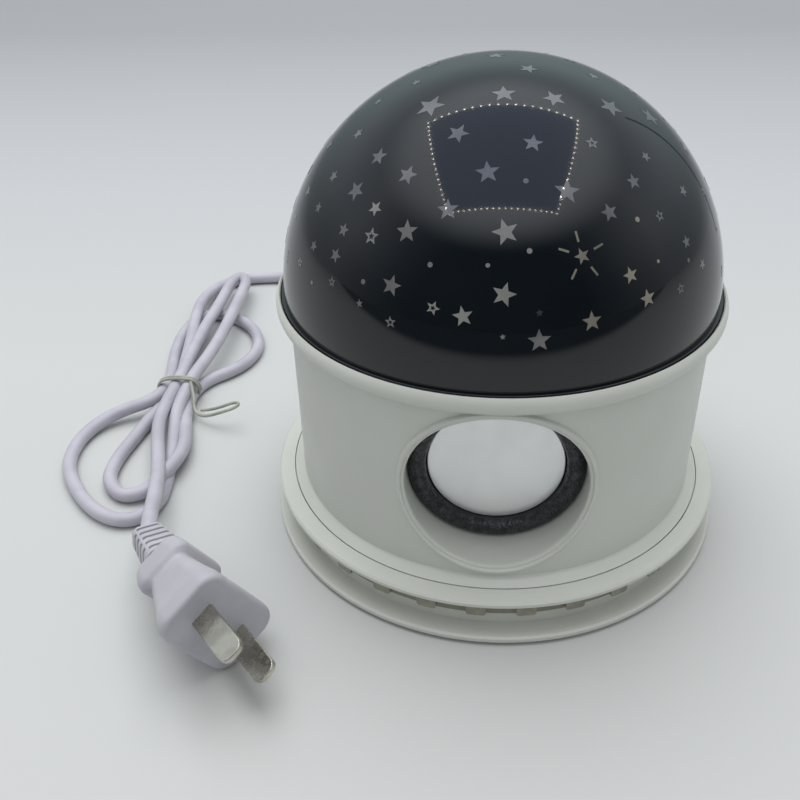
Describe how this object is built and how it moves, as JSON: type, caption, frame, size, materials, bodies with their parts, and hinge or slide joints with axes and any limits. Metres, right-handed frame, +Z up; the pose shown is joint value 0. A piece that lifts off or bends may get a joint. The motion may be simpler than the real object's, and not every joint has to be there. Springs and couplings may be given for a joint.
{
  "type": "star projector night light",
  "caption": "Round night light: printed dome turning on a drum with a front speaker, an LED-lit base, rear buttons and a tied mains cord.",
  "frame": {"origin": "middle of the base, on the floor that the rubber feet stand on", "axes": "+Z up; -Y out of the speaker in the front; +X to the right of someone who faces the speaker's front, seen from the speaker's own side: the cord lies on the -X side"},
  "size_m": [0.2013, 0.2253, 0.1272],
  "materials": {
    "white_shell": "satin moulded plastic, slightly green-grey white",
    "dome_black": "glossy black moulding printed with grey stars",
    "table_black": "black moulding",
    "cover_black": "matt black moulding",
    "gear_white": "natural nylon",
    "rubber_surround": "near-black rubber with a fine grain",
    "disc_grey": "pale grey pressed disc",
    "strip_cream": "flexible printed strip",
    "led_cream": "diffusing resin",
    "button_grey": "satin moulded plastic",
    "foot_rubber": "matt rubber",
    "screw_steel": "zinc plated",
    "can_steel": "drawn can",
    "magnet_dark": "sintered ferrite",
    "basket_dark": "pressed and painted",
    "board_green": "solder mask",
    "board_black": "moulded packages",
    "emitter_yellow": "silicone over phosphor",
    "lens_clear": "clear moulding",
    "lead_white": "insulated wire",
    "lead_red": "insulated wire",
    "cord_white": "soft vinyl, faintly lavender white",
    "plug_white": "moulded vinyl",
    "tie_pale": "coated wire",
    "blade_nickel": "nickel plated"
  },
  "bodies": {
    "base": {"rubber_feet": "foot_rubber", "base_pan": "white_shell", "led_strip": "strip_cream", "strip_leds": "led_cream", "flange_plate": "white_shell", "case_screws": "screw_steel", "body_shell": "white_shell", "top_deck": "white_shell", "motor_gearbox": "table_black", "motor_can": "can_steel", "motor_screws": "screw_steel", "lamp_board": "board_green", "lamp_emitters": "emitter_yellow", "lamp_cap": "lens_clear", "deck_cover": "cover_black", "cover_screws": "screw_steel", "speaker_bezel": "white_shell", "speaker_surround": "rubber_surround", "speaker_basket": "basket_dark", "speaker_magnet": "magnet_dark", "speaker_yoke": "can_steel", "button_panel": "white_shell", "tact_switches": "board_black", "button_board": "board_green", "main_board": "board_green", "board_parts": "board_black", "mains_lead": "lead_white", "lamp_leads": "lead_white", "motor_leads": "lead_red", "button_leads": "lead_white", "strip_wires": "lead_red", "speaker_leads": "lead_red", "cord_gland": "cord_white", "cord_lead": "cord_white", "cord_hank": "cord_white", "cord_tail": "cord_white", "cord_tie": "tie_pale", "plug_relief": "plug_white", "plug_body": "plug_white", "plug_blades": "blade_nickel"},
    "turntable": {"turntable": "table_black"},
    "dome": {"dome": "dome_black"},
    "pinion": {"drive_pinion": "gear_white"},
    "cone": {"speaker_cone": "disc_grey"},
    "lamp_button": {"lamp_button": "button_grey"},
    "turn_button": {"turn_button": "button_grey"},
    "colour_button": {"colour_button": "button_grey"},
    "sound_button": {"sound_button": "button_grey"}
  },
  "joints": [
    {"name": "dome_spin", "type": "hinge", "parent": "base", "child": "turntable", "pos_m": [0, 0, 0.068], "axis": [0, 0, 1], "continuous": true},
    {"name": "pinion_spin", "type": "hinge", "parent": "base", "child": "pinion", "pos_m": [0.04213, 0, 0.069], "axis": [0, 0, 1], "continuous": true},
    {"name": "dome_lift", "type": "slide", "parent": "turntable", "child": "dome", "axis": [0, 0, 1], "range_m": [0, 0.06]},
    {"name": "cone_travel", "type": "slide", "parent": "base", "child": "cone", "axis": [0, 1, 0], "range_m": [-0.0008, 0.0008], "stiffness_N_per_m": 800},
    {"name": "lamp_press", "type": "slide", "parent": "base", "child": "lamp_button", "axis": [0, -1, 0], "range_m": [0, 0.0005], "stiffness_N_per_m": 1500},
    {"name": "turn_press", "type": "slide", "parent": "base", "child": "turn_button", "axis": [0, -1, 0], "range_m": [0, 0.0005], "stiffness_N_per_m": 1500},
    {"name": "colour_press", "type": "slide", "parent": "base", "child": "colour_button", "axis": [0, -1, 0], "range_m": [0, 0.0005], "stiffness_N_per_m": 1500},
    {"name": "sound_press", "type": "slide", "parent": "base", "child": "sound_button", "axis": [0, -1, 0], "range_m": [0, 0.0005], "stiffness_N_per_m": 1500}
  ],
  "couplings": [
    {"joint": "pinion_spin", "follows": "dome_spin", "ratio": 8}
  ]
}
